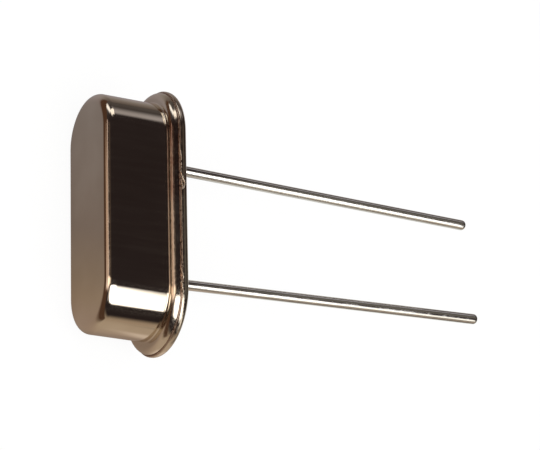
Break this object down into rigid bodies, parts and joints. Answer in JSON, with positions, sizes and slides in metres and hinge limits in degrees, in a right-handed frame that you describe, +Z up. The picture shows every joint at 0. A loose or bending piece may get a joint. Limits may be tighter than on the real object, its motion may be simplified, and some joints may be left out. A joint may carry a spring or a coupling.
{
  "type": "quartz crystal unit",
  "caption": "Low metal-can crystal oscillator with round ends, a welded flange and wire leads, lying on its long side.",
  "frame": {"origin": "on the surface that the unit lies on, under the middle of its bounding box", "axes": "+Z up; +X from the can's flat top towards the lead tips, which point about 10 degrees above it; +Y along the can's long axis, towards lead a"},
  "size_m": [0.0182, 0.011, 0.0049],
  "materials": {
    "can_nickel": "bright nickel plate on a drawn cover, faintly warm",
    "base_nickel": "nickel plate on a stamped base",
    "seal_glass": "dark fired glass bead, nearly opaque",
    "lead_tin": "tinned wire",
    "clip_silver": "nickel silver strip",
    "quartz": "lapped and etched quartz",
    "electrode_silver": "evaporated silver film",
    "adhesive_grey": "silver-filled adhesive"
  },
  "bodies": {
    "root": {"can": "can_nickel", "base": "base_nickel", "glass_seal_a": "seal_glass", "glass_seal_b": "seal_glass", "lead_a": "lead_tin", "lead_b": "lead_tin", "clip_a": "clip_silver", "clip_b": "clip_silver", "quartz_blank": "quartz", "electrode_upper": "electrode_silver", "electrode_lower": "electrode_silver", "adhesive_a": "adhesive_grey", "adhesive_b": "adhesive_grey"}
  },
  "joints": []
}
